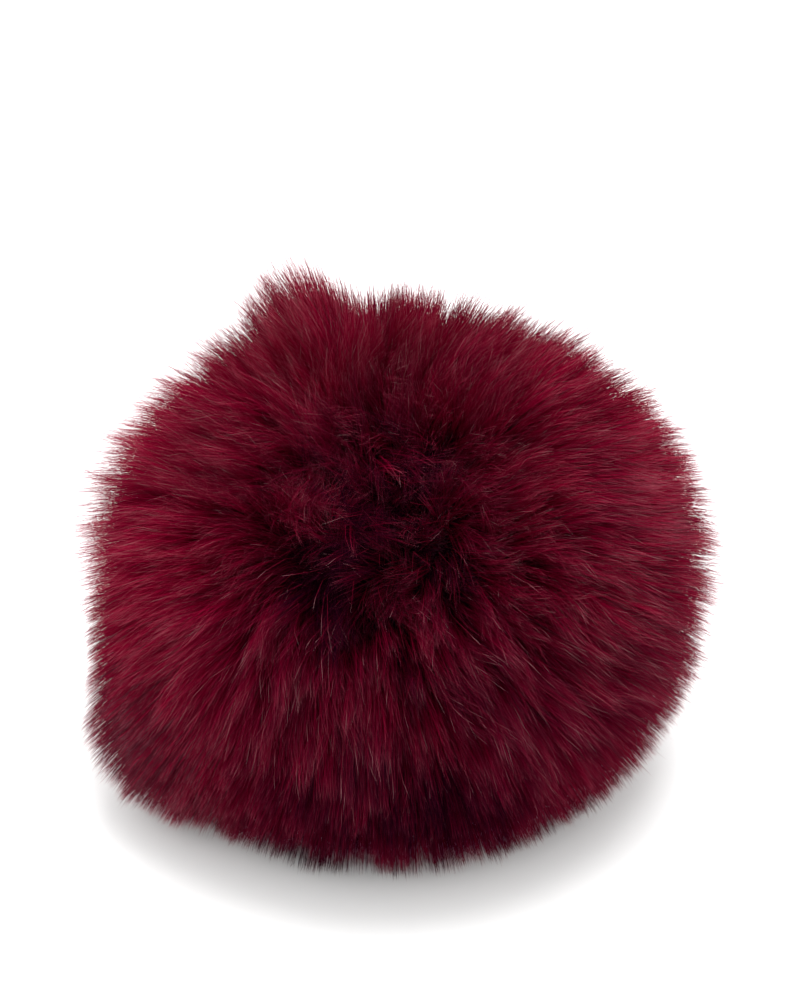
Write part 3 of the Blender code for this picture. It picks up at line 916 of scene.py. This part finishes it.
def socket_finish():
    finish = Finish("aged_bronze")
    away = finish.from_axis()
    cloud = finish.noise(230.0, 4.0)
    rim = finish.range(away, 9.3 * MM, 9.62 * MM)
    hub = 1 - finish.range(away, 4.4 * MM, 4.75 * MM)
    plate = finish.ramp(cloud, (0.32, (0.085, 0.070, 0.048)), (0.68, (0.23, 0.195, 0.13)))
    rubbed = finish.ramp(cloud, (0.32, (0.40, 0.26, 0.09)), (0.68, (0.58, 0.42, 0.18)))
    colour = finish.mix(rim, finish.mix(hub * 0.12, plate, rubbed), rubbed)
    finish.bump(finish.noise(1500.0, 3.0), 0.02 * MM)
    return finish.set(Base_Color=colour, Metallic=1.0, Roughness=0.30 + cloud * 0.22 - rim * 0.08)


def stud_finish():
    finish = Finish("rubbed_brass")
    away = finish.from_axis()
    cloud = finish.noise(420.0, 4.0)
    pits = finish.noise(2400.0, 3.0, 0.65)
    crown = 1 - finish.range(away, 1.2 * MM, 2.3 * MM)
    worn = finish.ramp(cloud, (0.3, (0.42, 0.28, 0.085)), (0.7, (0.66, 0.47, 0.17)))
    pitted = finish.ramp(pits, (0.40, (0.22, 0.14, 0.045)), (0.56, (0.60, 0.43, 0.16)))
    plate = finish.range(away, 3.7 * MM, 4.2 * MM)
    colour = finish.mix(plate, finish.mix(crown * 0.75, worn, pitted), (0.24, 0.19, 0.10))
    finish.bump(pits * crown, 0.12 * MM)
    return finish.set(Base_Color=colour, Metallic=1.0, Roughness=0.30 + crown * 0.14)


def wire_finish():
    finish = Finish("drawn_wire")
    cloud = finish.noise(500.0, 3.0)
    colour = finish.ramp(cloud, (0.3, (0.30, 0.25, 0.155)), (0.7, (0.56, 0.49, 0.33)))
    return finish.set(Base_Color=colour, Metallic=1.0, Roughness=0.28)


# %% [markdown]
# The stud half has the ball, and the socket half has the rim and the springs. Each new piece stands in
# for its solid. The profile lists read from the inside out: radius first, then height, in millimetres.

# %% The two halves
STUD_PROFILE = (
    (0, 0.3), (9.72, 0.3), (9.84, 0.34), (9.9, 0.45), (9.9, 0.85), (9.84, 0.96), (9.72, 1.0),
    (3.3, 1.0), (2.8, 1.04), (2.45, 1.18), (2.3, 1.45), (2.3, 2.85), (2.36, 3.0), (2.62, 3.12),
    (3.0, 3.3), (3.3, 3.55), (3.48, 3.84), (3.55, 4.15), (3.53, 4.42), (3.44, 4.68), (3.28, 4.9),
    (3.02, 5.1), (2.68, 5.28), (2.3, 5.41), (1.95, 5.48), (1.6, 5.5), (1.25, 5.47), (0.9, 5.41),
    (0.45, 5.37), (0, 5.36),
)  # fmt: skip
SOCKET_PROFILE = (
    (3.85, 1.42), (3.9, 1.33), (4.0, 1.3), (9.9, 1.3), (10.2, 1.36), (10.4, 1.52), (10.48, 1.8),
    (10.5, 2.15), (10.48, 2.48), (10.42, 2.72), (10.31, 2.89), (10.16, 2.98), (9.97, 3.0),
    (9.79, 2.97), (9.65, 2.88), (9.56, 2.72), (9.52, 2.5), (9.5, 2.25), (9.42, 2.06), (9.25, 1.93),
    (9.0, 1.86), (7.4, 1.85), (5.0, 1.85), (4.74, 1.87), (4.6, 1.94), (4.5, 2.05), (4.4, 2.12),
    (4.26, 2.15), (4.05, 2.15), (3.93, 2.11), (3.86, 2.02),
)  # fmt: skip


def add_halves():
    stud = turned("stud_half_fine", STUD_PROFILE, stud_finish(), closed=True)
    cut_out(stud, [prism(slot_outline(k * math.pi / 2), -1 * MM, 1.15 * MM) for k in range(4)])
    dress(stud, "pompom", "stud_half")
    socket = turned("socket_half_fine", SOCKET_PROFILE, socket_finish())
    cutters = [prism(slot_outline(k * math.pi / 2), 0, 3 * MM) for k in range(4)]
    for side in (-1, 1):
        left, right = side * SLIT_X - SLIT_HALF_WIDTH, side * SLIT_X + SLIT_HALF_WIDTH
        outline = [(left, SLIT_Y[0]), (right, SLIT_Y[0]), (right, SLIT_Y[1]), (left, SLIT_Y[1])]
        cutters.append(prism(outline, SLIT_FLOOR, 3 * MM))
    cut_out(socket, cutters)
    dress(socket, "socket", "socket_half")


add_halves()

# %% [markdown]
# Wire and thread are both long thin tubes, so one function makes them: it runs a smooth curve through
# a few points and sweeps a circle along it. The springs are tubes of wire. The stitches are tubes of
# thread that hold the stud half to the cloth through its slots, and they show through the socket's.

# %% Tubes
WIRE_POINTS = (
    (8.3, -2.85), (8.0, -3.45), (7.3, -3.6), (6.6, -2.8), (6.15, -1.2), (5.8, 1.0), (5.45, 3.2),
    (5.05, 4.65), (4.2, 5.15), (3.35, 4.6), (3.05, 3.3), (3.0, 1.0), (3.05, -2.0), (3.25, -5.4),
)  # fmt: skip
WIRE_HEIGHT = 2.45
WIRE_RADIUS = 0.3
THREAD_RADIUS = 0.125
THREADS_IN_SLOT = 7
# A thread's way through a slot and over the plate's edge: distance from the axis, then height.
THREAD_PATH = (
    (6.95, -0.5), (7.05, 0.4), (7.5, 1.0), (8.3, 1.14), (9.4, 1.13), (10.02, 0.85), (10.15, -0.5),
)  # fmt: skip


def smooth_line(points, steps_between):
    """A smooth curve through points, as an array of places."""
    points = np.array(points, float)
    padded = np.concatenate((points[:1] * 2 - points[1:2], points, points[-1:] * 2 - points[-2:-1]))
    t = (np.arange(steps_between) / steps_between)[:, None]
    places = []
    for a, b, c, d in zip(padded, padded[1:], padded[2:], padded[3:]):
        bend = (a * 2 - b * 5 + c * 4 - d) * t**2 + (b * 3 - a - c * 3 + d) * t**3
        places.append((b * 2 + (c - a) * t + bend) / 2)
    return np.concatenate(places + [points[-1:]])


def add_tube(mesh, places, radius, sides=12):
    """Sweeps a circle along places, in mm, with a rounded cap at each end."""
    ahead = unit(np.gradient(places, axis=0))
    across = unit(np.cross(ahead, (0.0, 0.0, 1.0)))
    rings = []
    for k, place in enumerate(places):
        up = np.cross(across[k], ahead[k])
        turns = 2 * math.pi * np.arange(sides)[:, None] / sides
        ring = place + (across[k] * np.cos(turns) + up * np.sin(turns)) * radius
        rings.append([mesh.verts.new(Vector(corner) * MM) for corner in ring])
    for low, high in zip(rings, rings[1:]):
        for k in range(sides):
            mesh.faces.new((low[k - 1], low[k], high[k], high[k - 1]))
    for ring, end, way in ((rings[0], places[0], -ahead[0]), (rings[-1], places[-1], ahead[-1])):
        point = mesh.verts.new(Vector(end + way * radius * 0.5) * MM)
        for k in range(sides):
            mesh.faces.new((ring[k - 1], ring[k], point))


def add_springs():
    finish = wire_finish()
    for side, name in ((-1, "left"), (1, "right")):
        mesh = bmesh.new()
        places = smooth_line([(side * x, y, WIRE_HEIGHT) for x, y in WIRE_POINTS], 8)
        add_tube(mesh, places, WIRE_RADIUS)
        spring = made_object(f"spring_{name}_fine", mesh, finish)
        spring.data.shade_smooth()
        dress(spring, "socket", f"spring_{name}")


def thread_finish():
    finish = Finish("sewing_thread")
    twist = finish.noise(2200.0, 2.0)
    finish.bump(twist, 0.08 * MM)
    colour = finish.ramp(twist, (0.35, (0.075, 0.008, 0.020)), (0.65, (0.19, 0.030, 0.055)))
    return finish.set(Base_Color=colour, Roughness=0.8, Specular_IOR_Level=0.2)


def add_stitches():
    rng = np.random.default_rng(SEED + 2)
    mesh = bmesh.new()
    for slot in range(4):
        turn = slot * math.pi / 2
        outwards = np.array((math.cos(turn), math.sin(turn), 0.0))
        across = np.array((-math.sin(turn), math.cos(turn), 0.0))
        for offset in np.linspace(-1.15, 1.15, THREADS_IN_SLOT):
            near, far = offset + rng.normal(scale=0.07), offset * 1.25 + rng.normal(scale=0.15)
            sideways = np.linspace(near, far, len(THREAD_PATH))
            points = []
            for (radius, height), aside in zip(THREAD_PATH, sideways):
                points.append(outwards * radius + across * aside + (0, 0, height))
            add_tube(mesh, smooth_line(points, 5), THREAD_RADIUS, sides=8)
    stitches = made_object("stitches", mesh, thread_finish())
    stitches.data.shade_smooth()
    dress(stitches)
    print("stitches:", len(stitches.data.polygons), "faces")


add_springs()
add_stitches()

# %% [markdown]
# ## Table and light
#
# The photograph was taken on white, under soft light from above, with a faint shadow all round.
# A white world gives light from every side, and a large lamp overhead gives the shadow its direction.

# %% Table, world and lamps


def add_table():
    mesh = bmesh.new()
    bmesh.ops.create_grid(mesh, x_segments=1, y_segments=1, size=3.0)
    data = bpy.data.meshes.new("table")
    mesh.to_mesh(data)
    mesh.free()
    finish = Finish("white_table")
    data.materials.append(finish.set(Base_Color=(0.93, 0.93, 0.93), Roughness=0.9, Specular_IOR_Level=0.0))
    table = bpy.data.objects.new("table", data)
    bpy.context.scene.collection.objects.link(table)


def add_lamp(name, place, size, power, aim):
    data = bpy.data.lights.new(name, "AREA")
    data.shape = "DISK"
    data.size = size
    data.energy = power
    lamp = bpy.data.objects.new(name, data)
    lamp.location = place
    lamp.rotation_euler = (Vector(place) - Vector(aim)).to_track_quat("Z", "Y").to_euler()
    bpy.context.scene.collection.objects.link(lamp)


def add_world(strength):
    world = bpy.data.worlds.new("studio")
    world.use_nodes = True
    shade = world.node_tree.nodes["Background"]
    shade.inputs["Color"].default_value = (1.0, 0.995, 0.99, 1.0)
    shade.inputs["Strength"].default_value = strength
    bpy.context.scene.world = world


add_table()
add_world(1.5)
add_lamp("overhead", (0.1, 0.25, 1.1), 0.9, 14.0, MIDDLE)
bpy.context.scene.view_settings.view_transform = "Standard"
